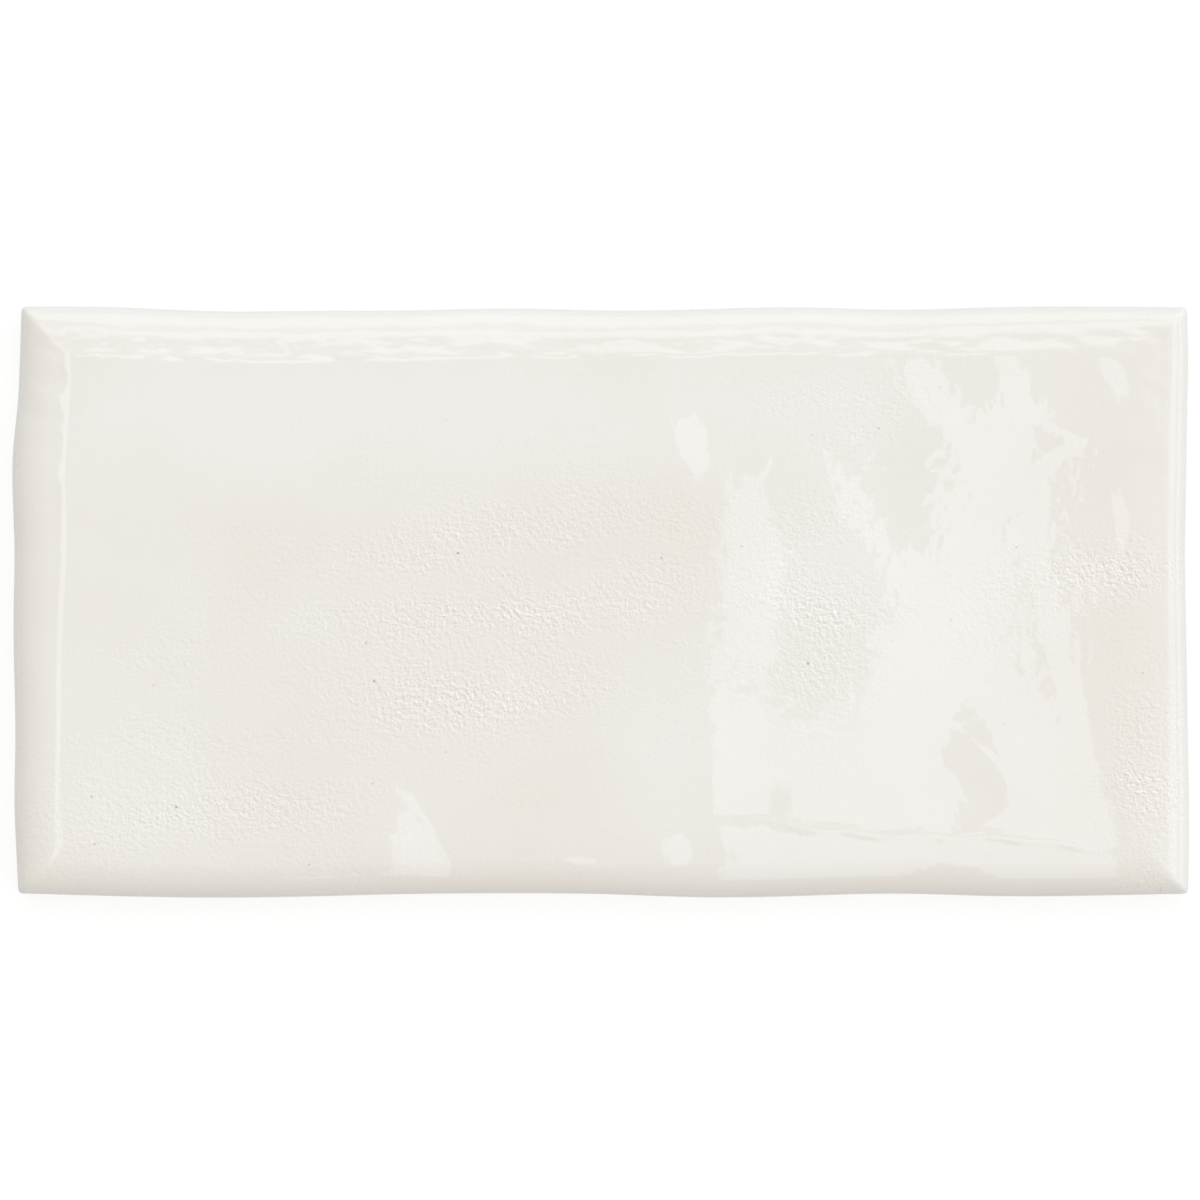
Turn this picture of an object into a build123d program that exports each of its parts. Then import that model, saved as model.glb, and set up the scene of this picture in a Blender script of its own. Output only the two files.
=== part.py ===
"""Glossy ceramic wall tile with hand-cut wavy edges, a rounded rim and a keyed back.

The tile lies on its back with the glazed face up. The origin is the middle of the back,
+X runs along the tile and +Z points out of the glazed face. All sizes are in millimetres.
"""

from build123d import *

import os
from math import acos, cos, exp, radians, sin, tan

# Overall sizes, across the crests of the wavy edges and up to the mean plane of the face
length = 150.0
width = 75.4
thickness = 8.0

# Walls: their height up to the rim, the press draft that narrows the back, and the corners
wall_height = 4.9
wall_draft = 3.0
corner_radius = 0.6

# Rim: a broad round roll up from the wall, then a slight bevel that rises to meet the face
roll_breadth = 4.4
roll_rise = 2.96
roll_steps = 2
bevel_angle = 6.0

# How far each edge dips inside the overall size, at even stations along the edge
upper_dips = (0.05, 0.15, 0.65, 0.6, 0.55, 0.3, 0.55, 0.4, 0.15, 0.45, 0.15, 0.05, 0.15)
lower_dips = (0.55, 0.2, 0.0, 0.15, 0.45, 0.55, 0.45, 0.05, 0.2, 0.5, 0.2, 0.25, 0.5)
left_dips = (1.2, 1.0, 0.7, 0.1, 0.1, 0.3, 0.2, 0.2, 0.35, 0.4, 0.3, 0.5, 0.8)
right_dips = (0.25, 0.1, 0.2, 0.3, 0.4, 0.5, 0.4, 0.3, 0.2, 0.1, 0.0, 0.0, 0.1)

# Broad swells and hollows of the hand-pressed face: place along and across the tile, as
# shares of its half length and half width, then height, and reach along and across
swells = (
    (-0.60, 0.25, 0.12, 36.0, 26.0),
    (-0.65, -0.40, -0.10, 28.0, 22.0),
    (0.20, -0.35, 0.10, 40.0, 24.0),
)

# Ripples where the glaze ran, each one a rise on its left and a drop on its right: place
# as above, reach along and across, and fall
ripples = (
    (0.26, 0.13, 8.5, 15.0, 0.14),
    (0.65, 0.03, 10.5, 12.0, 0.12),
)
face_spacing = 5.0
face_margin = 3.0
face_tolerance = 0.002

# Back: a lattice of shallow keying pockets, with their corners cut off and drafted sides,
# between the flat lands that carry the tile
pockets_along = 8
pockets_across = 4
back_border = 7.0
land_width = 3.0
pocket_depth = 0.6
pocket_corner_cut = 2.0
pocket_draft = 45.0

half_length = length / 2
half_width = width / 2


def spread(first, last, count):
    """Evenly spaced values from first to last."""
    return [first + (last - first) * i / (count - 1) for i in range(count)]


def wavy_outline(height, inset):
    """The tile's outline at a height, drawn in from the overall size by the inset."""
    left, right = inset - half_length, half_length - inset
    lower, upper = inset - half_width, half_width - inset
    upper_x = spread(left + left_dips[0], right - right_dips[0], len(upper_dips))
    lower_x = spread(left + left_dips[-1], right - right_dips[-1], len(lower_dips))
    left_y = spread(upper - upper_dips[0], lower + lower_dips[0], len(left_dips))
    right_y = spread(upper - upper_dips[-1], lower + lower_dips[-1], len(right_dips))
    with BuildSketch(Plane.XY.offset(height)) as outline:
        with BuildLine():
            Spline([(x, upper - dip) for x, dip in zip(upper_x, upper_dips)])
            Spline([(x, lower + dip) for x, dip in zip(lower_x, lower_dips)])
            Spline([(left + dip, y) for y, dip in zip(left_y, left_dips)])
            Spline([(right - dip, y) for y, dip in zip(right_y, right_dips)])
        make_face()
        fillet(outline.vertices(), corner_radius)
    return outline.sketch


def wall_outlines():
    """The foot and the top of the drafted walls."""
    foot_inset = wall_height * tan(radians(wall_draft))
    return [wavy_outline(0, foot_inset), wavy_outline(wall_height, 0)]


def roll_outlines():
    """Outlines up the roll, round an ellipse until it is as steep as the bevel."""
    bevel_share = tan(radians(bevel_angle)) * roll_breadth / roll_rise
    turn = acos(bevel_share / (1 - bevel_share))
    outlines = []
    for angle in spread(0, turn, roll_steps + 1):
        inset = roll_breadth * (1 - cos(angle)) / (1 - cos(turn))
        outlines.append(wavy_outline(wall_height + roll_rise * sin(angle) / sin(turn), inset))
    return outlines


def bevel_outlines():
    """The foot of the bevel, and its top some way past the face that cuts it off."""
    bevel_foot = wall_height + roll_rise
    bevel_top = thickness + sum(swell[2] for swell in swells if swell[2] > 0)
    bevel_top += face_margin * tan(radians(bevel_angle))
    inset = roll_breadth + (bevel_top - bevel_foot) / tan(radians(bevel_angle))
    return [wavy_outline(bevel_foot, roll_breadth), wavy_outline(bevel_top, inset)]


def face_height(x, y):
    """Height of the glazed face over a place on the tile."""
    height = thickness
    for along, across, rise, reach_along, reach_across in swells:
        u = (x - along * half_length) / reach_along
        v = (y - across * half_width) / reach_across
        height += rise * exp(-u * u - v * v)
    for along, across, reach_along, reach_across, fall in ripples:
        u = (x - along * half_length) / reach_along
        v = (y - across * half_width) / reach_across
        height -= fall * u * exp(-u * u - v * v)
    return height


def pressed_face():
    """The rippled surface of the glazed face, a little larger than the tile."""
    reach_x = half_length + face_margin
    reach_y = half_width + face_margin
    along = spread(-reach_x, reach_x, round(2 * reach_x / face_spacing) + 1)
    across = spread(-reach_y, reach_y, round(2 * reach_y / face_spacing) + 1)
    points = [[(x, y, face_height(x, y)) for y in across] for x in along]
    return Face.make_surface_from_array_of_points(points, tol=face_tolerance)


pitch_along = (length - 2 * back_border + land_width) / pockets_along
pitch_across = (width - 2 * back_border + land_width) / pockets_across

with BuildPart() as tile:
    loft(wall_outlines(), ruled=True)
    loft(roll_outlines())
    loft(bevel_outlines(), ruled=True)
    split(bisect_by=pressed_face(), keep=Keep.BOTTOM)
    with BuildSketch() as mouths:
        with GridLocations(pitch_along, pitch_across, pockets_along, pockets_across):
            Rectangle(pitch_along - land_width, pitch_across - land_width)
        chamfer(mouths.vertices(), pocket_corner_cut)
    extrude(amount=pocket_depth, taper=pocket_draft, mode=Mode.SUBTRACT)
tile.part.label = "tile"

os.makedirs("parts", exist_ok=True)
export_step(tile.part, "parts/tile.step")
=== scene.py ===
"""Glossy ceramic wall tile: hand-pressed glazed face, wavy rim, bare foot and keyed back.

The tile lies on its back with the face up, and its origin is the middle of the back.
Sizes of the tile are in millimetres until they go into a mesh, the studio's are in metres.
"""

from math import cos, pi, radians, sin, tan

import bmesh
import bpy
import numpy as np
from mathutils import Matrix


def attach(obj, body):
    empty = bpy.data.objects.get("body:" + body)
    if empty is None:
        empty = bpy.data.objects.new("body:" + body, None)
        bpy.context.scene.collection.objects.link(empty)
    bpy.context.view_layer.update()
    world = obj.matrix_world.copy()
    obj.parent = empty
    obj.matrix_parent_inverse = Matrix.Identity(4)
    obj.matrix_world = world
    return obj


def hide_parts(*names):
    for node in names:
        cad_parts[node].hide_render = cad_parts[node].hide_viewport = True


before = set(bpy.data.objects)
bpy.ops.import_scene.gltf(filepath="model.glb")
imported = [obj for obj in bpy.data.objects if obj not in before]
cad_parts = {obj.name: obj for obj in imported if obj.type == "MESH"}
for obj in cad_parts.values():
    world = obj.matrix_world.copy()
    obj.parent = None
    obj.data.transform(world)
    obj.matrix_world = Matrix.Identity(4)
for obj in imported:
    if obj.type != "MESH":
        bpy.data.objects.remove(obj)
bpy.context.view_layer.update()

MM = 0.001

# The pressed body: overall sizes, walls and corners
LENGTH, WIDTH, THICKNESS = 150.0, 75.4, 8.0
WALL_HEIGHT = 4.9
WALL_DRAFT = radians(3.0)
CORNER_RADIUS = 0.6

# The rim's section: a broad round roll up from the wall, then a slight bevel up to the brow
ROLL_BREADTH, ROLL_RISE = 4.4, 2.96
BEVEL_SLOPE = 0.105

# How softly rim and face join: along the upper and left side, and along the lower and right
CRISP_BROW, SOFT_BROW = 0.08, 0.25
BROW_TURN = 12.0

# The upper rim was wiped flatter: its slope, the inset at which it comes level with the face, and
# the distance over which that sets in from the corners
WIPED_SLOPE, WIPED_INSET, WIPED_FADE = 0.13, 5.73, 4.0

# How far each edge dips inside the overall size, at even stations from the left or the top
UPPER_DIPS = (0.05, 0.15, 0.65, 0.6, 0.55, 0.3, 0.55, 0.4, 0.15, 0.45, 0.15, 0.05, 0.15)
LOWER_DIPS = (0.55, 0.2, 0.0, 0.15, 0.45, 0.55, 0.45, 0.05, 0.2, 0.5, 0.2, 0.25, 0.5)
LEFT_DIPS = (1.2, 1.0, 0.7, 0.1, 0.1, 0.3, 0.2, 0.2, 0.35, 0.4, 0.3, 0.5, 0.8)
RIGHT_DIPS = (0.25, 0.1, 0.2, 0.3, 0.4, 0.5, 0.4, 0.3, 0.2, 0.1, 0.0, 0.0, 0.1)

# Broad swells of the pressed face: place, height, reach along and across
SWELLS = (
    (-45.0, 9.4, 0.12, 36.0, 26.0),
    (-48.8, -15.1, -0.10, 28.0, 22.0),
    (15.0, -13.2, 0.10, 40.0, 24.0),
)

# Ripples left in the glaze as it ran: place, reach across and along, turn in degrees, and fall.
# Each one drops towards its own right, or rises where its fall is negative, so that its flank
# mirrors other light than the face beside it
RIPPLES = (
    (19.5, 5.0, 8.5, 15.0, 0.0, 0.14),
    (32.6, 11.4, 5.8, 8.0, 32.0, 0.115),
    (40.0, -1.5, 8.0, 8.5, 0.0, 0.11),
    (48.5, 1.0, 10.5, 14.0, 0.0, 0.12),
    (51.0, 21.0, 6.5, 6.0, 0.0, 0.062),
    (42.8, 25.0, 5.5, 7.2, 45.0, 0.078),
    (43.0, 12.0, 4.5, 2.6, -20.0, 0.035),
    (11.2, 20.0, 5.6, 5.2, 25.0, 0.09),
    (65.6, 28.7, 2.8, 3.6, 45.0, -0.05),
    (67.2, 10.0, 2.6, 2.8, 15.0, -0.09),
    (-23.5, -31.2, 5.5, 8.5, 26.0, 0.15),
    (10.0, -32.0, 4.5, 2.4, 0.0, 0.035),
    (45.9, -20.0, 5.5, 4.6, 20.0, -0.09),
    (50.0, -23.6, 5.5, 4.2, 20.0, -0.09),
    (-11.5, -9.7, 1.4, 1.3, 0.0, 0.02),
)

# Small mounds where the glaze pooled thick: place, reach along and across, height
MOUNDS = (
    (25.2, -25.6, 2.6, 3.2, 0.012),
    (14.6, -24.0, 3.0, 14.0, 0.012),
)

# A thin bead of glaze that wanders along above the lower brow: its ends, its waves by their number,
# swing and start, its reach and height, and how quickly it rises from its ends
BEAD_START, BEAD_END = (14.0, -28.0), (68.0, -31.6)
BEAD_WAVES = ((1.7, 0.35, 0.5), (6.0, 0.15, 2.0))
BEAD_REACH, BEAD_HEIGHT, BEAD_TAPER = 0.5, 0.04, 8.0

# The face falls away towards the right edge, past a line that leans out below a waist, has a
# wing higher up and leans in above it. Then how steep the fall gets, and over what distance
FALL_START, FALL_WAIST, FALL_LOWER_LEAN = 53.5, 5.0, 0.25
FALL_WING, FALL_WING_OUT, FALL_WING_REACH, FALL_UPPER_LEAN = 20.5, 4.0, 2.5, 0.4
FALL_SLOPE, FALL_TURN = 0.02, 5.0

# Ripples run over the brow and die out down the rim, between these insets
RIPPLE_FADE = (1.5, 4.0)

# Where the glaze lies thick and cool in tone, or thin where the amount is negative: place, reach
# along and across, amount. Then how thick it lies elsewhere
THICK_PATCHES = (
    (-31.0, 24.5, 44.0, 10.0, 0.6),
    (29.0, 25.7, 15.0, 8.0, 0.5),
    (-58.0, -25.0, 12.0, 8.0, 0.3),
    (8.9, -20.0, 8.0, 10.0, 0.4),
    (36.0, 0.0, 10.0, 14.0, 0.3),
    (4.0, 11.0, 14.0, 6.0, -0.4),
    (-42.0, 6.0, 14.0, 6.0, -0.2),
    (-62.0, -2.0, 14.0, 14.0, 0.2),
    (28.5, 6.0, 7.0, 10.0, 0.35),
    (65.0, -12.0, 8.0, 20.0, -0.35),
    (-2.0, -26.0, 14.0, 6.0, -0.12),
)
LEVEL_COVER = 0.4

# Where the glaze dried to a fine orange peel: place, reach along and across, amount, and then
# the least of it anywhere
PEEL_PATCHES = (
    (-10.0, 1.5, 25.0, 11.0, 0.6),
    (-20.0, -13.0, 22.0, 4.5, 0.35),
    (28.0, -1.5, 6.0, 11.0, 0.5),
    (46.0, 1.0, 14.0, 6.0, 0.3),
    (65.0, 4.0, 8.0, 5.0, 0.5),
    (-58.0, -12.0, 10.0, 8.0, 0.25),
    (-45.0, -26.0, 28.0, 8.0, 0.35),
    (69.0, -24.0, 4.5, 14.0, 0.6),
    (30.5, 24.5, 10.0, 5.0, 0.3),
)
PEEL_LEAST = 0.05

# Where the glaze puckered as it set: place, reach along and across, amount, and then the least of
# it anywhere, and the puckers' size and height
PUCKER_PATCHES = (
    (42.0, 10.0, 36.0, 20.0, 0.5),
)
PUCKER_LEAST = 0.2
PUCKER_SIZE, PUCKER_HEIGHT = 2.2, 0.03

# The glaze wanders more on the rim: the waves' size and height, and how they are drawn out along the
# tile. They set in below the face, over a drop, and past an inset, and are faint on the lower side
WANDER_SIZE, WANDER_HEIGHT, WANDER_STRETCH = 2.4, 0.4, 0.45
WANDER_START, WANDER_DROP, WANDER_INSET = 0.01, 0.06, 2.0
WANDER_LEAST = 0.04

# Puckers and waves set in over this height above the walls, and all come from one seed
UNEVEN_FADE = 1.0
SEED = 4.0

# Walls: the glaze ends in a wavy line, given by its height and its waves' number, rise and start,
# with a slightly swollen lip, by rise above the line and swell. It starts a little under that line
GLAZE_LINE = 2.2
GLAZE_LINE_WAVES = ((7, 0.30, 1.0), (17, 0.20, 2.1), (41, 0.10, 0.5))
GLAZE_LIP = ((0.06, 0.06), (0.30, 0.11), (0.80, 0.05))
GLAZE_START = 0.03

# Under the glaze the foot is bare, with a small chamfer. Heights of the plain rings below and above
# the lip, and how many bands between rings are bare, counted from the foot
FOOT_CHAMFER = 0.25
BARE_RING, PLAIN_RING = 1.0, 3.9
BARE_BANDS = 3

# Back: a lattice of shallow keying pockets between the flat lands that carry the tile
POCKETS_ALONG, POCKETS_ACROSS = 8, 4
BACK_BORDER = 7.0
LAND_WIDTH = 3.0
POCKET_DEPTH = 0.6
POCKET_CORNER_CUT = 2.0
POCKET_DRAFT = radians(45.0)
PITCH_ALONG = (LENGTH - 2 * BACK_BORDER + LAND_WIDTH) / POCKETS_ALONG
PITCH_ACROSS = (WIDTH - 2 * BACK_BORDER + LAND_WIDTH) / POCKETS_ACROSS

# Mesh: steps along and across the tile, how they crowd towards the corners, and where the rings
# end and the face's grid starts
STEPS_ALONG, STEPS_ACROSS = 320, 146
CORNER_CROWDING = 0.35
FACE_INSET = 8.0

# Rings of the rim: how many the whole roll would have, and how many are even from which inset on
ROLL_RINGS, EVEN_RINGS, EVEN_INSET = 11, 26, 2.8

# Points closer than this are one, and edges sharper than this stay sharp
WELD_DISTANCE = 0.002
SHARP_ANGLE = radians(30.0)

# Added to a length that is divided by, so that a sharp corner doesn't divide by nothing
NEVER_ZERO = 1e-9


def smooth_through(dips, share):
    """A smooth wave through evenly spaced dips, read at shares of the edge's length."""
    dips = np.array(dips)
    last = len(dips) - 1
    matrix = np.eye(last + 1)
    bends = np.zeros(last + 1)
    for i in range(1, last):
        matrix[i, i - 1:i + 2] = 1, 4, 1
        bends[i] = 6 * (dips[i - 1] - 2 * dips[i] + dips[i + 1])
    bends = np.linalg.solve(matrix, bends)
    place = np.clip(share, 0, 1) * last
    i = np.minimum(place.astype(int), last - 1)
    after = place - i
    before = 1 - after
    bend = (before**3 - before) * bends[i] + (after**3 - after) * bends[i + 1]
    return before * dips[i] + after * dips[i + 1] + bend / 6


def side_points(start, end, dips, inward, steps, corner):
    """Points along one wavy side, with both its corners rounded."""
    start, end, inward = np.array(start), np.array(end), np.array(inward)
    run = np.linalg.norm(end - start)
    even = np.arange(steps) / steps
    share = even - CORNER_CROWDING * np.sin(2 * pi * even) / (2 * pi)
    place = share * run
    depth = smooth_through(dips, share)
    for distance, way in ((share * run, 1), (run - share * run, -1)):
        near = distance < corner
        reach = np.hypot(distance - corner, corner) + NEVER_ZERO
        place = place + np.where(near, way * (corner - distance) * (1 - corner / reach), 0)
        depth = depth + np.where(near, corner - corner * corner / reach, 0)
    return start + np.outer(place, (end - start) / run) + np.outer(depth, inward)


def outline_ring(inset, corner):
    """The tile's outline drawn in by the inset, anticlockwise from its lower left corner."""
    left, right = inset - LENGTH / 2, LENGTH / 2 - inset
    lower, upper = inset - WIDTH / 2, WIDTH / 2 - inset
    left_ends = left + LEFT_DIPS[0], left + LEFT_DIPS[-1]
    right_ends = right - RIGHT_DIPS[0], right - RIGHT_DIPS[-1]
    upper_ends = upper - UPPER_DIPS[0], upper - UPPER_DIPS[-1]
    lower_ends = lower + LOWER_DIPS[0], lower + LOWER_DIPS[-1]
    sides = (
        ((left_ends[1], lower), (right_ends[1], lower), LOWER_DIPS, (0, 1), STEPS_ALONG),
        ((right, lower_ends[1]), (right, upper_ends[1]), RIGHT_DIPS[::-1], (-1, 0), STEPS_ACROSS),
        ((right_ends[0], upper), (left_ends[0], upper), UPPER_DIPS[::-1], (0, -1), STEPS_ALONG),
        ((left, upper_ends[0]), (left, lower_ends[0]), LEFT_DIPS, (1, 0), STEPS_ACROSS),
    )
    return np.vstack([side_points(*side, corner) for side in sides])


def bells(x, y, patches):
    """Soft round patches added up, each with a place, two reaches and an amount."""
    total = np.zeros_like(x)
    for place_x, place_y, reach_x, reach_y, amount in patches:
        total += amount * np.exp(-((x - place_x) / reach_x) ** 2 - ((y - place_y) / reach_y) ** 2)
    return total


def bead_height(x, y):
    """Height of the thin bead of glaze along the lower brow."""
    share = (x - BEAD_START[0]) / (BEAD_END[0] - BEAD_START[0])
    line = BEAD_START[1] + (BEAD_END[1] - BEAD_START[1]) * share
    for waves, swing, start in BEAD_WAVES:
        line = line + swing * np.sin(2 * pi * waves * share + start)
    ends = np.clip(BEAD_TAPER * share * (1 - share), 0, 1)
    return BEAD_HEIGHT * ends * np.exp(-((y - line) / BEAD_REACH) ** 2)


def right_fall(x, y):
    """How far the face has fallen away towards the right edge."""
    start = FALL_START + FALL_LOWER_LEAN * np.maximum(FALL_WAIST - y, 0)
    start = start - FALL_UPPER_LEAN * np.maximum(y - FALL_WING, 0)
    start = start + FALL_WING_OUT * np.exp(-((y - FALL_WING) / FALL_WING_REACH) ** 2)
    past = np.maximum(x - start, 0)
    turning = past * past / (2 * FALL_TURN)
    return FALL_SLOPE * np.where(past < FALL_TURN, turning, past - FALL_TURN / 2)


def glaze_relief(x, y):
    """Ripples, mounds, the bead and the fall at the right, as the glaze ran and set."""
    height = bells(x, y, MOUNDS) + bead_height(x, y) - right_fall(x, y)
    for place_x, place_y, across, along, turn, fall in RIPPLES:
        c, s = cos(radians(turn)), sin(radians(turn))
        p = ((x - place_x) * c + (y - place_y) * s) / across
        q = ((y - place_y) * c - (x - place_x) * s) / along
        height -= fall * p * np.exp(-p * p - q * q)
    return height


def face_height(x, y):
    """Height of the glazed face, with its broad swells and its relief."""
    swells = [(px, py, along, across, rise) for px, py, rise, along, across in SWELLS]
    return THICKNESS + bells(x, y, swells) + glaze_relief(x, y)


def inset_at(x, y):
    """How far a place lies in from the wavy outline, with the corners rounded."""
    along = (x + LENGTH / 2) / LENGTH
    down = (WIDTH / 2 - y) / WIDTH
    a = np.minimum(
        x + LENGTH / 2 - smooth_through(LEFT_DIPS, down),
        LENGTH / 2 - smooth_through(RIGHT_DIPS, down) - x,
    )
    b = np.minimum(
        y + WIDTH / 2 - smooth_through(LOWER_DIPS, along),
        WIDTH / 2 - smooth_through(UPPER_DIPS, along) - y,
    )
    arc = np.sqrt(np.maximum(CORNER_RADIUS**2 / 2 - (a - b) ** 2 / 4, 0))
    rounded = (a + b) / 2 - CORNER_RADIUS + arc
    return np.maximum(np.where(np.abs(a - b) < CORNER_RADIUS, rounded, np.minimum(a, b)), 0)


def roll_turn():
    """How far round its ellipse the roll goes before its slope is the bevel's."""
    ratio = BEVEL_SLOPE * ROLL_BREADTH / ROLL_RISE
    return np.arccos(ratio / (1 - ratio))


def rim_height(inset):
    """Height of the rim at an inset, round the roll and on up the bevel."""
    share = np.clip(inset / ROLL_BREADTH, 0, 1)
    angle = np.arccos(1 - share * (1 - cos(roll_turn())))
    roll = WALL_HEIGHT + ROLL_RISE * np.sin(angle) / sin(roll_turn())
    return roll + BEVEL_SLOPE * np.maximum(inset - ROLL_BREADTH, 0)


def wiped_rim(x, y, inset, rim):
    """The rim's height with the upper side wiped flatter."""
    end_distance = np.minimum(x + LENGTH / 2, LENGTH / 2 - x)
    share = np.clip((end_distance - (WIDTH / 2 - y)) / WIPED_FADE, 0, 1)
    wiped = THICKNESS - WIPED_SLOPE * (WIPED_INSET - inset)
    return rim - share * np.maximum(rim - wiped, 0) * (inset < WIPED_INSET)


def brow_softness(x, y):
    """How softly rim and face join, by the side of the tile."""
    upper_left = np.minimum(x + LENGTH / 2, WIDTH / 2 - y)
    lower_right = np.minimum(LENGTH / 2 - x, y + WIDTH / 2)
    share = np.clip(0.5 + (upper_left - lower_right) / BROW_TURN, 0, 1)
    return CRISP_BROW + (SOFT_BROW - CRISP_BROW) * share


def top_height(x, y, inset):
    """Height of the tile's top: the lower of rim and face, joined in a soft brow."""
    fade = np.clip((inset - RIPPLE_FADE[0]) / (RIPPLE_FADE[1] - RIPPLE_FADE[0]), 0, 1)
    rim = wiped_rim(x, y, inset, rim_height(inset))
    rim = rim + glaze_relief(x, y) * fade * fade * (3 - 2 * fade)
    face = face_height(x, y)
    softness = brow_softness(x, y)
    gap = np.maximum(softness - np.abs(rim - face), 0) / softness
    return np.minimum(rim, face) - gap * gap * softness / 4


def rim_insets():
    """Insets of the rings up the steep of the roll, then evenly over its top and the brow."""
    angles = np.linspace(0, roll_turn(), ROLL_RINGS)
    roll = ROLL_BREADTH * (1 - np.cos(angles)) / (1 - cos(roll_turn()))
    even = np.linspace(EVEN_INSET, FACE_INSET, EVEN_RINGS)
    return np.concatenate([roll[roll < EVEN_INSET], even])


def wall_rings():
    """Rings up the walls, from the foot to just below the outline, as points and heights."""
    count = 2 * (STEPS_ALONG + STEPS_ACROSS)
    turn = 2 * pi * np.arange(count) / count
    wander = sum(rise * np.sin(number * turn + start) for number, rise, start in GLAZE_LINE_WAVES)
    line = GLAZE_LINE + wander
    level = np.ones(count)
    stations = [(0.0 * level, -FOOT_CHAMFER), (FOOT_CHAMFER * level, 0.0), (BARE_RING * level, 0.0)]
    stations.append((line - GLAZE_START, 0.0))
    stations += [(line + rise, swell) for rise, swell in GLAZE_LIP]
    stations.append((PLAIN_RING * level, 0.0))
    rings = []
    for heights, swell in stations:
        inset = (WALL_HEIGHT - heights.mean()) * tan(WALL_DRAFT) - swell
        rings.append((outline_ring(inset, CORNER_RADIUS), heights))
    return rings


def face_grid():
    """Places of the face's grid, spread between its four wavy sides, lowest row first."""
    ring = outline_ring(FACE_INSET, 0)
    ends = np.cumsum([0, STEPS_ALONG, STEPS_ACROSS, STEPS_ALONG, STEPS_ACROSS])
    lower = ring[ends[0]:ends[1] + 1]
    right = ring[ends[1]:ends[2] + 1]
    upper = ring[ends[2]:ends[3] + 1][::-1]
    left = np.vstack([ring[ends[3]:], ring[:1]])[::-1]
    s = np.linspace(0, 1, STEPS_ACROSS + 1)[:, None, None]
    t = np.linspace(0, 1, STEPS_ALONG + 1)[None, :, None]
    across = (1 - s) * lower[None] + s * upper[None]
    along = (1 - t) * left[:, None] + t * right[:, None]
    lower_chord = (1 - t) * lower[0] + t * lower[-1]
    upper_chord = (1 - t) * upper[0] + t * upper[-1]
    return across + along - ((1 - s) * lower_chord + s * upper_chord)


def grid_border(index):
    """The grid's border vertices in the order of a ring."""
    return np.concatenate([index[0, :-1], index[:-1, -1], index[-1, :0:-1], index[:0:-1, 0]])


def shell_arrays():
    """The tile without its back: its points, quads, which quads are bare, and the foot's ring."""
    points, rows = [], []
    for ring, heights in wall_rings():
        rows.append(np.arange(len(ring)) + len(rows) * len(ring))
        points.append(np.column_stack([ring, heights]))
    for inset in rim_insets()[:-1]:
        ring = outline_ring(inset, CORNER_RADIUS * (1 - inset / FACE_INSET))
        x, y = ring.T
        rows.append(np.arange(len(ring)) + len(rows) * len(ring))
        points.append(np.column_stack([ring, top_height(x, y, inset_at(x, y))]))
    grid = face_grid()
    x, y = grid.reshape(-1, 2).T
    index = np.arange(len(x)).reshape(grid.shape[:2]) + sum(map(len, points))
    points.append(np.column_stack([x, y, top_height(x, y, inset_at(x, y))]))
    rows.append(grid_border(index))
    quads = []
    for outer, inner in zip(rows, rows[1:]):
        quads.append(np.column_stack([outer, np.roll(outer, -1), np.roll(inner, -1), inner]))
    bare = np.concatenate([np.full(len(band), i < BARE_BANDS) for i, band in enumerate(quads)])
    face = np.stack([index[:-1, :-1], index[:-1, 1:], index[1:, 1:], index[1:, :-1]], -1)
    quads.append(face.reshape(-1, 4))
    bare = np.concatenate([bare, np.zeros(face.shape[0] * face.shape[1], bool)])
    return np.vstack(points), np.vstack(quads), bare, rows[0]


def lattice_corners():
    """The outer corners of the back's pocket cells, once round the lattice."""
    x = (np.arange(POCKETS_ALONG + 1) - POCKETS_ALONG / 2) * PITCH_ALONG
    y = (np.arange(POCKETS_ACROSS + 1) - POCKETS_ACROSS / 2) * PITCH_ACROSS
    lower = [(a, y[0]) for a in x[:-1]]
    right = [(x[-1], b) for b in y[:-1]]
    upper = [(a, y[-1]) for a in x[:0:-1]]
    left = [(x[0], b) for b in y[:0:-1]]
    return lower + right + upper + left


def ring_edges(mesh, vertices):
    """Joins vertices in a closed ring and gives its edges."""
    edges = []
    for i, vertex in enumerate(vertices):
        pair = (vertices[i - 1], vertex)
        edges.append(mesh.edges.get(pair) or mesh.edges.new(pair))
    return edges


def fill_downwards(mesh, edges):
    """Fills the flat area between rings with faces that look down."""
    filled = bmesh.ops.triangle_fill(mesh, use_beauty=True, edges=edges, normal=(0, 0, -1))
    faces = [item for item in filled["geom"] if isinstance(item, bmesh.types.BMFace)]
    for face in faces:
        face.normal_update()
        if face.normal.z > 0:
            face.normal_flip()
    return faces


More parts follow.
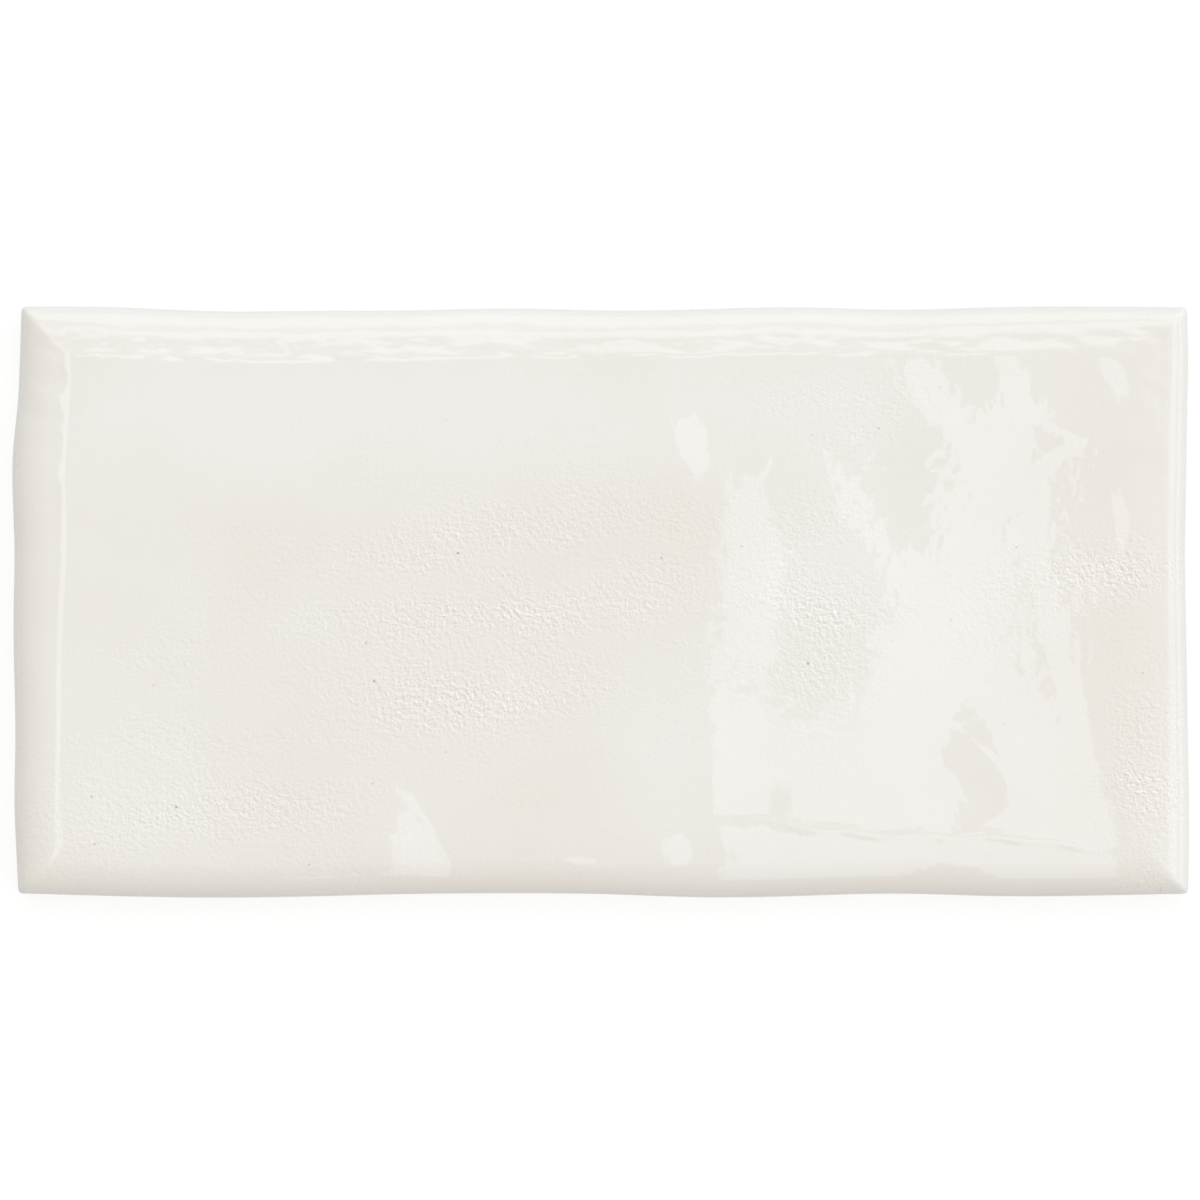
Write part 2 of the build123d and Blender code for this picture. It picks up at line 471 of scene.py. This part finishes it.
def tile_shell():
    """The tile without its pockets, with attributes that say where its glaze does what."""
    points, quads, bare, foot = shell_arrays()
    data = bpy.data.meshes.new("glazed_tile")
    data.from_pydata(points * MM, [], quads.tolist())
    x, y, z = points.T
    inset = inset_at(x, y)
    drop = face_height(x, y) - z
    on_top = np.clip((z - WALL_HEIGHT) / UNEVEN_FADE, 0, 1)
    below_face = np.clip((drop - WANDER_START) / WANDER_DROP, 0, 1)
    inside_edge = np.clip(inset / WANDER_INSET, 0, 1)
    upper_side = np.clip(WANDER_LEAST + 2 * y / WIDTH, WANDER_LEAST, 1)
    shares = {
        "glaze_pucker": on_top * np.clip(PUCKER_LEAST + bells(x, y, PUCKER_PATCHES), 0, 1),
        "rim_wander": on_top * below_face * inside_edge * upper_side,
        "glaze_depth": np.clip(LEVEL_COVER + bells(x, y, THICK_PATCHES), 0, 1),
        "glaze_peel": np.clip(PEEL_LEAST + bells(x, y, PEEL_PATCHES), 0, 1),
    }
    for name, values in shares.items():
        attribute = data.attributes.new(name, "FLOAT", "POINT")
        attribute.data.foreach_set("value", values.astype(np.float32))
    attribute = data.attributes.new("bare", "BOOLEAN", "FACE")
    attribute.data.foreach_set("value", bare)

    mesh = bmesh.new()
    mesh.from_mesh(data)
    mesh.verts.ensure_lookup_table()
    edges = ring_edges(mesh, [mesh.verts[i] for i in foot])
    edges += ring_edges(mesh, [mesh.verts.new((a * MM, b * MM, 0)) for a, b in lattice_corners()])
    bare_layer = mesh.faces.layers.bool["bare"]
    for face in fill_downwards(mesh, edges):
        face[bare_layer] = True
    mesh.to_mesh(data)
    mesh.free()
    return data


def cut_rectangle(length, width, cut, height):
    """Corners of a rectangle with its own corners cut off, anticlockwise."""
    x, y = length / 2, width / 2
    quarter = [(x, y - cut), (x - cut, y)]
    half = quarter + [(-a, b) for a, b in quarter[::-1]]
    return [(a * MM, b * MM, height * MM) for a, b in half + [(-a, -b) for a, b in half]]


def pocket_cell():
    """One cell of the back: a keying pocket in the middle of its piece of land."""
    length, width = PITCH_ALONG - LAND_WIDTH, PITCH_ACROSS - LAND_WIDTH
    narrowing = POCKET_DEPTH * tan(POCKET_DRAFT)
    floor_cut = POCKET_CORNER_CUT - narrowing * (2 - 2**0.5)
    mouth = cut_rectangle(length, width, POCKET_CORNER_CUT, 0)
    floor = cut_rectangle(length - 2 * narrowing, width - 2 * narrowing, floor_cut, POCKET_DEPTH)
    mesh = bmesh.new()
    half_x, half_y = PITCH_ALONG / 2 * MM, PITCH_ACROSS / 2 * MM
    signs = ((1, 1), (-1, 1), (-1, -1), (1, -1))
    border = [mesh.verts.new((sx * half_x, sy * half_y, 0)) for sx, sy in signs]
    mouth = [mesh.verts.new(point) for point in mouth]
    floor = [mesh.verts.new(point) for point in floor]
    fill_downwards(mesh, ring_edges(mesh, border) + ring_edges(mesh, mouth))
    for i in range(len(mouth)):
        mesh.faces.new((mouth[i - 1], floor[i - 1], floor[i], mouth[i]))
    mesh.faces.new(floor[::-1])
    data = bpy.data.meshes.new("pocket_cell")
    mesh.to_mesh(data)
    mesh.free()
    attribute = data.attributes.new("bare", "BOOLEAN", "FACE")
    attribute.data.foreach_set("value", [True] * len(data.polygons))
    return bpy.data.objects.new("pocket_cell", data)


def add_node(tree, kind, inputs=None, **settings):
    """Adds a node with its settings, and sets or links its inputs."""
    node = tree.nodes.new(kind)
    for name, value in settings.items():
        setattr(node, name, value)
    for socket, value in (inputs or {}).items():
        if isinstance(value, bpy.types.NodeSocket):
            tree.links.new(value, node.inputs[socket])
        else:
            node.inputs[socket].default_value = value
    return node


def linear(hex_colour):
    """An sRGB hex colour as linear red, green, blue and alpha."""
    parts = [int(hex_colour[i:i + 2], 16) / 255 for i in (1, 3, 5)]
    return [c / 12.92 if c <= 0.04045 else ((c + 0.055) / 1.055) ** 2.4 for c in parts] + [1.0]


# Sockets of the colour Mix node, which shares its names with the other kinds of mix
MIX_FIRST, MIX_SECOND, MIX_RESULT = 6, 7, 2


def new_material(name):
    """A material with an empty node tree, and that tree."""
    material = bpy.data.materials.new(name)
    material.use_nodes = True
    material.node_tree.nodes.clear()
    return material, material.node_tree


def tin_white_glaze():
    """Glossy off-white glaze, poured over the pressed clay and fired.

    It gives the eye a hard mirror of the lamps over a milky white. It is cooler where it
    lies thick and warmer where it is thin, peels to a fine grain whose specks carry painted light
    and shade in its colour, lit on one side and shaded on the other, and has a few pinholes.
    """
    # Sizes and depths of the patterns in millimetres, and how strongly they show
    cloud_size, cloud_swing = 14.0, 0.9
    streak_size, streak_shift, streak_stretch = 8.0, -4.4, 0.35
    grain_size, grain_step, grain_depth = 0.5, 0.17, 0.005
    pinhole_spacing, pinhole_share, pinhole_depth = 9.0, 0.33, 0.03
    pinhole_core, pinhole_edge, pinhole_gain = 0.09, 0.216, 2.5
    wrinkle_size, wrinkle_depth = 1.6, 0.012
    material, tree = new_material("tin_white_glaze")
    place = add_node(tree, "ShaderNodeTexCoord").outputs["Object"]
    depth = add_node(tree, "ShaderNodeAttribute", attribute_name="glaze_depth").outputs["Fac"]
    peel = add_node(tree, "ShaderNodeAttribute", attribute_name="glaze_peel").outputs["Fac"]

    # Warm where the glaze is thin, cool where it is thick, in soft clouds
    cloud = add_node(
        tree, "ShaderNodeTexNoise",
        {"Vector": place, "Scale": 1 / (cloud_size * MM), "Detail": 3.0, "Roughness": 0.55},
    ).outputs["Fac"]
    clouded = add_node(
        tree, "ShaderNodeMath", {0: cloud, 1: cloud_swing, 2: -cloud_swing / 2}, operation="MULTIPLY_ADD"
    ).outputs[0]
    cover = add_node(tree, "ShaderNodeMath", {0: depth, 1: clouded}, use_clamp=True).outputs[0]
    body = add_node(
        tree, "ShaderNodeMix",
        {0: cover, MIX_FIRST: linear("#ECE8DF"), MIX_SECOND: linear("#F1EFE9")}, data_type="RGBA",
    ).outputs[MIX_RESULT]

    # The peel's grain, gathered in streaks along the tile, as the difference of two places side by side,
    # which paints light and shade on its specks
    along = add_node(
        tree, "ShaderNodeMapping",
        {
            "Vector": place, "Location": (streak_shift * MM, 0.0, 0.0),
            "Scale": (streak_stretch, 1.0, 1.0),
        },
    ).outputs[0]
    streak = add_node(
        tree, "ShaderNodeTexNoise", {"Vector": along, "Scale": 1 / (streak_size * MM), "Detail": 2.0}
    ).outputs["Fac"]
    streak = add_node(
        tree, "ShaderNodeMapRange",
        {"Value": streak, "From Min": 0.36, "From Max": 0.64, "To Min": 0.25, "To Max": 1.25},
    ).outputs["Result"]
    peel = add_node(tree, "ShaderNodeMath", {0: peel, 1: streak}, operation="MULTIPLY").outputs[0]
    # The step between the two places sets which side of each speck gets the painted light and which the
    # painted shade
    step = (grain_step * MM, grain_step * MM, 0.0)
    beside = add_node(tree, "ShaderNodeVectorMath", {0: place, 1: step}).outputs[0]
    here, there = [
        add_node(
            tree, "ShaderNodeTexNoise",
            {"Vector": vector, "Scale": 1 / (grain_size * MM), "Detail": 1.0, "Distortion": 0.8},
        ).outputs["Fac"]
        for vector in (place, beside)
    ]
    grain_relief_and_shade = add_node(tree, "ShaderNodeMath", {0: here, 1: there}, operation="SUBTRACT").outputs[0]
    grain_relief_and_shade = add_node(tree, "ShaderNodeMath", {0: grain_relief_and_shade, 1: peel}, operation="MULTIPLY").outputs[0]
    # Painted light and shade of the grain: each speck brightens the glaze colour on one side and darkens it
    # on the other. The same grain is also used as a real bump below
    painted_grain_shade = add_node(tree, "ShaderNodeMath", {0: grain_relief_and_shade, 1: 1.0}, operation="ADD").outputs[0]
    body_with_painted_grain_shade = add_node(
        tree, "ShaderNodeVectorMath", {0: body, "Scale": painted_grain_shade}, operation="SCALE"
    ).outputs[0]

    # Pinholes, in about one cell of three, where the peel is strong enough
    cells = add_node(
        tree, "ShaderNodeTexVoronoi", {"Vector": place, "Scale": 1 / (pinhole_spacing * MM)},
        voronoi_dimensions="2D",
    )
    chance = add_node(tree, "ShaderNodeSeparateColor", {0: cells.outputs["Color"]}).outputs[0]
    chosen = add_node(
        tree, "ShaderNodeMath", {0: chance, 1: 1 - pinhole_share}, operation="GREATER_THAN"
    ).outputs[0]
    rough = add_node(
        tree, "ShaderNodeMath", {0: peel, 1: pinhole_gain}, operation="MULTIPLY", use_clamp=True
    ).outputs[0]
    chosen = add_node(tree, "ShaderNodeMath", {0: chosen, 1: rough}, operation="MULTIPLY").outputs[0]
    spot = add_node(
        tree, "ShaderNodeMapRange",
        {
            "Value": cells.outputs["Distance"], "From Min": pinhole_core / pinhole_spacing,
            "From Max": pinhole_edge / pinhole_spacing, "To Min": 1.0, "To Max": 0.0,
        },
    ).outputs["Result"]
    pinhole = add_node(tree, "ShaderNodeMath", {0: spot, 1: chosen}, operation="MULTIPLY").outputs[0]
    colour = add_node(
        tree, "ShaderNodeMix",
        {0: pinhole, MIX_FIRST: body_with_painted_grain_shade, MIX_SECOND: linear("#B9AE9F")}, data_type="RGBA",
    ).outputs[MIX_RESULT]

    # The finest puckers, the grain and the pinholes as relief
    pucker = add_node(tree, "ShaderNodeAttribute", attribute_name="glaze_pucker").outputs["Fac"]
    wrinkle = add_node(
        tree, "ShaderNodeTexNoise", {"Vector": place, "Scale": 1 / (wrinkle_size * MM), "Detail": 1.0}
    ).outputs["Fac"]
    wrinkle = add_node(tree, "ShaderNodeMath", {0: wrinkle, 1: pucker}, operation="MULTIPLY").outputs[0]
    puckered = add_node(
        tree, "ShaderNodeBump", {"Height": wrinkle, "Strength": 1.0, "Distance": wrinkle_depth * MM}
    ).outputs["Normal"]
    peeled = add_node(
        tree, "ShaderNodeBump",
        {"Height": grain_relief_and_shade, "Normal": puckered, "Strength": 1.0, "Distance": grain_depth * MM},
    ).outputs["Normal"]
    pitted = add_node(
        tree, "ShaderNodeBump",
        {"Height": pinhole, "Normal": peeled, "Strength": 1.0, "Distance": pinhole_depth * MM},
        invert=True,
    ).outputs["Normal"]
    roughness = add_node(
        tree, "ShaderNodeMapRange",
        {"Value": cloud, "From Min": 0.3, "From Max": 0.7, "To Min": 0.003, "To Max": 0.006},
    ).outputs["Result"]
    shader = add_node(
        tree, "ShaderNodeBsdfPrincipled",
        {"Base Color": colour, "Roughness": roughness, "Normal": pitted, "IOR": 1.5},
    )
    add_node(tree, "ShaderNodeOutputMaterial", {"Surface": shader.outputs["BSDF"]})
    return material


def pale_biscuit():
    """Unglazed fired earthenware: matt, chalky and a little sandy, in a pale warm tone."""
    cloud_size = 9.0
    grit_size, grit_depth = 0.5, 0.08
    material, tree = new_material("pale_biscuit")
    place = add_node(tree, "ShaderNodeTexCoord").outputs["Object"]
    cloud = add_node(
        tree, "ShaderNodeTexNoise", {"Vector": place, "Scale": 1 / (cloud_size * MM), "Detail": 5.0}
    ).outputs["Fac"]
    grit = add_node(
        tree, "ShaderNodeTexNoise", {"Vector": place, "Scale": 1 / (grit_size * MM), "Detail": 3.0}
    ).outputs["Fac"]
    body = add_node(
        tree, "ShaderNodeMix",
        {0: cloud, MIX_FIRST: linear("#D9CDB9"), MIX_SECOND: linear("#E6DCCB")}, data_type="RGBA",
    ).outputs[MIX_RESULT]
    dark = add_node(
        tree, "ShaderNodeMapRange",
        {"Value": grit, "From Min": 0.58, "From Max": 0.72, "To Min": 0.0, "To Max": 0.45},
    ).outputs["Result"]
    colour = add_node(
        tree, "ShaderNodeMix",
        {0: dark, MIX_FIRST: body, MIX_SECOND: linear("#BFB09A")}, data_type="RGBA",
    ).outputs[MIX_RESULT]
    bump = add_node(
        tree, "ShaderNodeBump", {"Height": grit, "Strength": 0.8, "Distance": grit_depth * MM}
    ).outputs["Normal"]
    roughness = add_node(
        tree, "ShaderNodeMapRange",
        {"Value": grit, "From Min": 0.3, "From Max": 0.7, "To Min": 0.78, "To Max": 0.95},
    ).outputs["Result"]
    shader = add_node(
        tree, "ShaderNodeBsdfPrincipled", {"Base Color": colour, "Roughness": roughness, "Normal": bump}
    )
    add_node(tree, "ShaderNodeOutputMaterial", {"Surface": shader.outputs["BSDF"]})
    return material


def random_lift(tree, place, size, height, seed, share):
    """Random waves of one size, lifted by a height where the named share lets them."""
    scale = add_node(tree, "ShaderNodeMath", {0: 1.0, 1: size}, operation="DIVIDE").outputs[0]
    noise = add_node(
        tree, "ShaderNodeTexNoise", {"Vector": place, "W": seed, "Scale": scale, "Detail": 2.0},
        noise_dimensions="4D",
    ).outputs[0]
    wave = add_node(tree, "ShaderNodeMath", {0: noise, 1: 0.5}, operation="SUBTRACT").outputs[0]
    wave = add_node(tree, "ShaderNodeMath", {0: wave, 1: height}, operation="MULTIPLY").outputs[0]
    weight = add_node(
        tree, "GeometryNodeInputNamedAttribute", {"Name": share}, data_type="FLOAT"
    ).outputs["Attribute"]
    return add_node(tree, "ShaderNodeMath", {0: wave, 1: weight}, operation="MULTIPLY").outputs[0]


def tile_tree(glaze, biscuit):
    """Geometry Nodes: uneven glaze over the shell, and one pocket cell repeated over the back."""
    tree = bpy.data.node_groups.new("glazed tile", "GeometryNodeTree")
    tree.interface.new_socket("Geometry", in_out="OUTPUT", socket_type="NodeSocketGeometry")
    kinds = {
        "Shell": "NodeSocketGeometry", "Pocket Cell": "NodeSocketObject",
        "Pockets Along": "NodeSocketInt", "Pockets Across": "NodeSocketInt",
        "Pitch Along": "NodeSocketFloat", "Pitch Across": "NodeSocketFloat",
        "Pucker Size": "NodeSocketFloat", "Pucker Height": "NodeSocketFloat",
        "Wander Size": "NodeSocketFloat", "Wander Height": "NodeSocketFloat",
        "Seed": "NodeSocketFloat",
    }
    sockets = {
        name: tree.interface.new_socket(name, in_out="INPUT", socket_type=kind).identifier
        for name, kind in kinds.items()
    }
    given = add_node(tree, "NodeGroupInput").outputs
    place = add_node(tree, "GeometryNodeInputPosition").outputs[0]
    pucker = random_lift(
        tree, place, given["Pucker Size"], given["Pucker Height"], given["Seed"], "glaze_pucker"
    )
    long_place = add_node(
        tree, "ShaderNodeVectorMath", {0: place, 1: (WANDER_STRETCH, 1.0, 1.0)}, operation="MULTIPLY"
    ).outputs[0]
    wander = random_lift(
        tree, long_place, given["Wander Size"], given["Wander Height"], given["Seed"], "rim_wander"
    )
    lift = add_node(tree, "ShaderNodeMath", {0: pucker, 1: wander}).outputs[0]
    offset = add_node(tree, "ShaderNodeCombineXYZ", {"Z": lift}).outputs[0]
    shell = add_node(
        tree, "GeometryNodeSetPosition", {"Geometry": given["Shell"], "Offset": offset}
    ).outputs[0]

    spans = []
    for side in ("Along", "Across"):
        count, pitch = given[f"Pockets {side}"], given[f"Pitch {side}"]
        gaps = add_node(tree, "ShaderNodeMath", {0: count, 1: 1.0}, operation="SUBTRACT").outputs[0]
        span = add_node(tree, "ShaderNodeMath", {0: gaps, 1: pitch}, operation="MULTIPLY")
        spans.append(span.outputs[0])
    lattice = add_node(
        tree, "GeometryNodeMeshGrid",
        {
            "Size X": spans[0], "Size Y": spans[1],
            "Vertices X": given["Pockets Along"], "Vertices Y": given["Pockets Across"],
        },
    ).outputs["Mesh"]
    cell = add_node(tree, "GeometryNodeObjectInfo", {"Object": given["Pocket Cell"]}).outputs["Geometry"]
    cells = add_node(tree, "GeometryNodeInstanceOnPoints", {"Points": lattice, "Instance": cell}).outputs[0]
    cells = add_node(tree, "GeometryNodeRealizeInstances", {"Geometry": cells}).outputs[0]
    join = add_node(tree, "GeometryNodeJoinGeometry", {0: shell})
    tree.links.new(cells, join.inputs[0])
    closed = add_node(
        tree, "GeometryNodeMergeByDistance",
        {"Geometry": join.outputs[0], "Distance": WELD_DISTANCE * MM},
    ).outputs[0]
    whole = add_node(tree, "GeometryNodeRealizeInstances", {"Geometry": closed}).outputs[0]
    glazed = add_node(tree, "GeometryNodeSetMaterial", {"Geometry": whole, "Material": glaze}).outputs[0]
    bare = add_node(
        tree, "GeometryNodeInputNamedAttribute", {"Name": "bare"}, data_type="BOOLEAN"
    ).outputs["Attribute"]
    dressed = add_node(
        tree, "GeometryNodeSetMaterial", {"Geometry": glazed, "Selection": bare, "Material": biscuit}
    ).outputs[0]
    add_node(tree, "NodeGroupOutput", {0: dressed})
    return tree, sockets


def glazed_tile():
    """The whole tile as one closed mesh."""
    raw = bpy.data.objects.new("glazed_tile_raw", tile_shell())
    bpy.context.collection.objects.link(raw)
    tree, sockets = tile_tree(tin_white_glaze(), pale_biscuit())
    modifier = raw.modifiers.new("glazed tile", "NODES")
    modifier.node_group = tree
    values = {
        "Pocket Cell": pocket_cell(),
        "Pockets Along": POCKETS_ALONG, "Pockets Across": POCKETS_ACROSS,
        "Pitch Along": PITCH_ALONG * MM, "Pitch Across": PITCH_ACROSS * MM,
        "Pucker Size": PUCKER_SIZE * MM, "Pucker Height": PUCKER_HEIGHT * MM,
        "Wander Size": WANDER_SIZE * MM, "Wander Height": WANDER_HEIGHT * MM, "Seed": SEED,
    }
    for name, value in values.items():
        modifier[sockets[name]] = value
    graph = bpy.context.evaluated_depsgraph_get()
    mesh = bpy.data.meshes.new_from_object(raw.evaluated_get(graph))
    raw.modifiers.remove(modifier)
    bpy.data.objects.remove(values["Pocket Cell"])
    bpy.data.objects.remove(raw)
    mesh.name = "glazed_tile"
    mesh.shade_smooth()
    mesh.set_sharp_from_angle(angle=SHARP_ANGLE)
    tile = bpy.data.objects.new("glazed_tile", mesh)
    bpy.context.collection.objects.link(tile)
    return tile


# The studio: how high the camera and the overhead lamps hang, and how far off the side lamps stand
CAMERA_HEIGHT = 5.0
LAMP_HEIGHT = 8.0
SIDE_LAMP_DISTANCE = 5.0

# Light: warm from the room and cool from the lamps, which add up to a plain white on the level face
ROOM_LIGHT = (0.686, 0.642, 0.600)
DAYLIGHT = (0.86, 1.0, 1.24)
SHADED_DAYLIGHT = (0.88, 1.0, 1.13)

# A place on the level face mirrors a direction that slopes outwards by this much per metre
MIRROR_RATE = 1 / CAMERA_HEIGHT + 1 / LAMP_HEIGHT

# The window: where a level face would mirror its left edge and the step between its two parts, in
# metres from the middle, then the slopes of the directions to its edges, and its radiance
WINDOW_LEFT_PLACE, WINDOW_STEP_PLACE = 0.0148, -0.008
WINDOW_LEFT = MIRROR_RATE * WINDOW_LEFT_PLACE
WINDOW_STEP = MIRROR_RATE * WINDOW_STEP_PLACE
WINDOW_RIGHT, WINDOW_BOTTOM = 0.05, -1.0
UPPER_WINDOW_LEFT, UPPER_WINDOW_TOP = 0.020, 0.045
WINDOW_RADIANCE = 1.25

# The photograph's frame, in millimetres on the tile: its breadth, and where its middle lies
FRAME_BREADTH = 152.94
FRAME_MIDDLE = (-0.064, 0.242)


def lamp(name, place, turn, size, radiance, colour):
    """A rectangular soft lamp that shines with the given radiance."""
    data = bpy.data.lights.new(name, "AREA")
    data.shape = "RECTANGLE"
    data.size, data.size_y = size
    data.energy = radiance * pi * size[0] * size[1]
    data.color = colour
    lamp_object = bpy.data.objects.new(name, data)
    lamp_object.location = place
    lamp_object.rotation_euler = turn
    lamp_object.visible_camera = False
    bpy.context.collection.objects.link(lamp_object)


def overhead_lamp(name, x_range, y_range, radiance, colour):
    """A level lamp over the tile, given by the slopes of the directions to its edges."""
    middle = [sum(pair) / 2 * LAMP_HEIGHT for pair in (x_range, y_range)]
    size = [(pair[1] - pair[0]) * LAMP_HEIGHT for pair in (x_range, y_range)]
    lamp(name, (*middle, LAMP_HEIGHT), (0, 0, 0), size, radiance, colour)


def side_lamp(name, heading, low, high, half_turn, radiance):
    """An upright lamp beside the tile, given by its heading and the elevations of its edges."""
    heading, low, high, half_turn = map(radians, (heading, low, high, half_turn))
    distance = SIDE_LAMP_DISTANCE
    bottom, top = distance * tan(low), distance * tan(high)
    place = (distance * cos(heading), distance * sin(heading), (bottom + top) / 2)
    size = (2 * distance * tan(half_turn), top - bottom)
    lamp(name, place, (-pi / 2, 0, heading - pi / 2), size, radiance, SHADED_DAYLIGHT)


def light_studio():
    """Plain even light, a window over the lower right, and strips that the brows and rims mirror."""
    lower_window = (WINDOW_LEFT, WINDOW_RIGHT), (WINDOW_BOTTOM, WINDOW_STEP)
    upper_window = (UPPER_WINDOW_LEFT, WINDOW_RIGHT), (WINDOW_STEP, UPPER_WINDOW_TOP)
    overhead_lamp("window_lower", *lower_window, WINDOW_RADIANCE, DAYLIGHT)
    overhead_lamp("window_upper", *upper_window, WINDOW_RADIANCE, DAYLIGHT)

    # Strips overhead: slopes of the directions to their edges across and along, and radiance
    overhead_lamp("left_brow_strip", (-0.16, -0.07), (-0.3, 0.3), 1.4, DAYLIGHT)
    overhead_lamp("upper_brow_strip", (-0.03, 0.012), (0.08, 0.14), 1.6, DAYLIGHT)
    overhead_lamp("upper_rim_strip", (-0.5, 0.5), (0.285, 0.78), 1.1, SHADED_DAYLIGHT)

    # Lamps at the sides: heading, elevations of the edges and half the breadth in degrees, and radiance
    side_lamp("upper_wall", 90, 6, 40, 50, 0.95)
    side_lamp("right_wall_low", 0, 3, 20, 40, 1.1)
    side_lamp("right_wall_high", 0, 31, 58, 40, 1.05)

    world = bpy.data.worlds.new("even_light")
    world.use_nodes = True
    world.node_tree.nodes["Background"].inputs["Color"].default_value = (*ROOM_LIGHT, 1)
    bpy.context.scene.world = world


def white_table():
    """The pale floor, white to the camera but for the tile's faint shadow.

    Seen directly or mirrored, it glows a little short of white, and a faint paint adds the rest
    where the tile doesn't shade it. The light that it throws back on the tile is a cool grey.
    """
    material, tree = new_material("white_table")
    path = add_node(tree, "ShaderNodeLightPath").outputs
    seen = path["Is Camera Ray"]
    for ray in ("Is Glossy Ray", "Is Transmission Ray"):
        seen = add_node(tree, "ShaderNodeMath", {0: seen, 1: path[ray]}, operation="MAXIMUM").outputs[0]
    paint = add_node(tree, "ShaderNodeBsdfDiffuse", {"Color": linear("#ACB4BE")}).outputs[0]
    faint = add_node(tree, "ShaderNodeBsdfDiffuse", {"Color": linear("#7C7C7B")}).outputs[0]
    glow = add_node(tree, "ShaderNodeEmission", {"Color": linear("#ECECEC"), "Strength": 1.0}).outputs[0]
    white = add_node(tree, "ShaderNodeAddShader", {0: glow, 1: faint}).outputs[0]
    surface = add_node(tree, "ShaderNodeMixShader", {0: seen, 1: paint, 2: white}).outputs[0]
    add_node(tree, "ShaderNodeOutputMaterial", {"Surface": surface})

    reach, drop = 10.0, -0.1 * MM
    data = bpy.data.meshes.new("table")
    signs = ((-1, -1), (1, -1), (1, 1), (-1, 1))
    data.from_pydata([(sx * reach, sy * reach, drop) for sx, sy in signs], [], [(0, 1, 2, 3)])
    data.materials.append(material)
    table = bpy.data.objects.new("table", data)
    bpy.context.collection.objects.link(table)


def camera_above():
    """The camera, straight above the tile."""
    data = bpy.data.cameras.new("camera")
    data.sensor_width = 36.0
    data.lens = data.sensor_width * CAMERA_HEIGHT / (FRAME_BREADTH * MM)
    data.clip_end = 100.0
    camera = bpy.data.objects.new("camera", data)
    camera.location = (FRAME_MIDDLE[0] * MM, FRAME_MIDDLE[1] * MM, CAMERA_HEIGHT + WALL_HEIGHT * MM)
    bpy.context.collection.objects.link(camera)
    bpy.context.scene.camera = camera


camera_above()
light_studio()
white_table()
tile = glazed_tile()
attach(tile, "root")
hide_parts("tile")

bpy.context.scene.view_settings.view_transform = "Standard"
